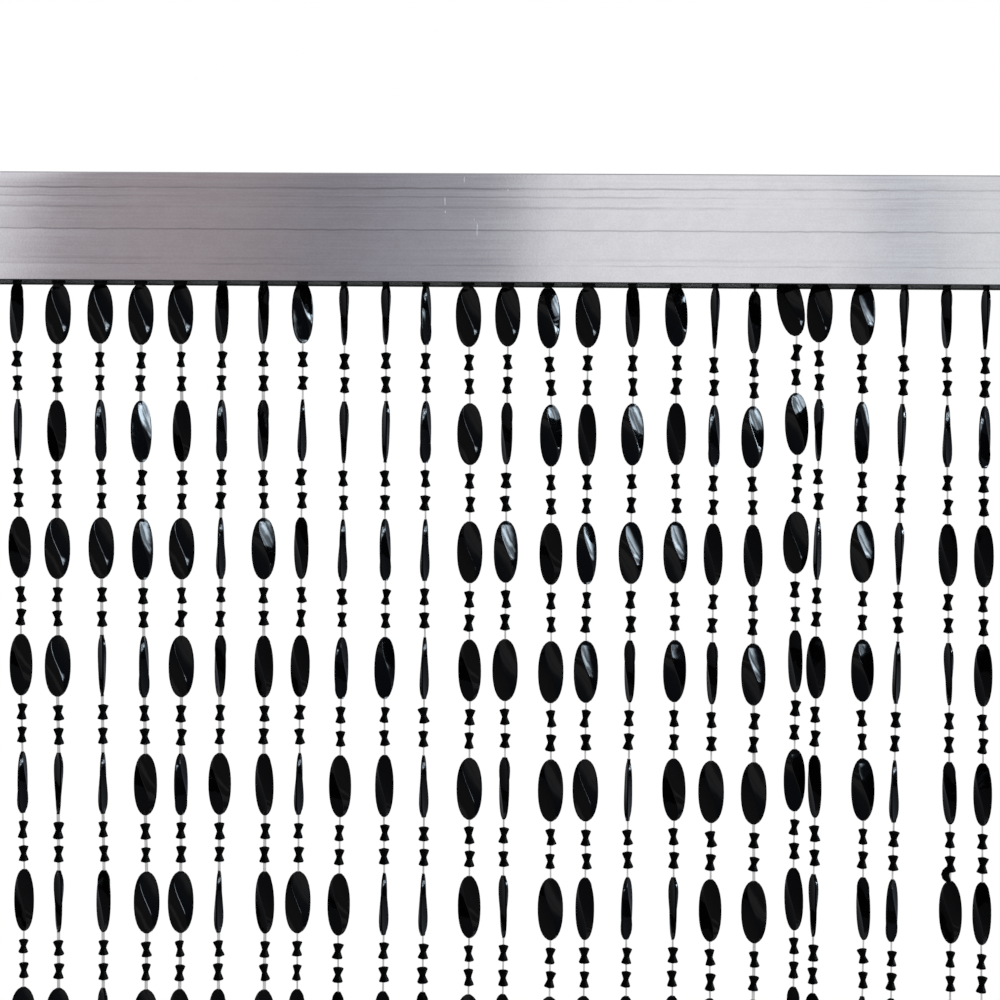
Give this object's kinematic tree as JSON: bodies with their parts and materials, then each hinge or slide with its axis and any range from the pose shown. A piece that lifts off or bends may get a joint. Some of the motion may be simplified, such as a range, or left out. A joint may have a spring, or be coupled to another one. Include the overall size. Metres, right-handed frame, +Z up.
{
  "type": "beaded fly curtain on its aluminium rail",
  "caption": "Doorway fly curtain: strings of black oval twist beads and small waisted spacer beads hanging from carriers in an open-bottomed aluminium rail.",
  "frame": {"origin": "middle of the rail's flat back face, which is screwed to the wall or the door frame", "axes": "+X along the rail to the right seen from the front, +Y out of the rail's back into the wall, +Z up, so the strands hang towards -Z and the front faces -Y"},
  "size_m": [0.9002, 0.014, 1.9824],
  "materials": {
    "rail_aluminium": "satin mill finish with fine lengthwise die lines",
    "bead_black": "high gloss moulded black plastic",
    "spacer_black": "softer gloss black plastic",
    "string_clear": "clear to pale grey nylon",
    "carrier_black": "plain black plastic"
  },
  "bodies": {
    "root": {"rail": "rail_aluminium", "strands_left": "bead_black", "strands_middle": "bead_black", "strands_right": "bead_black"}
  },
  "joints": []
}
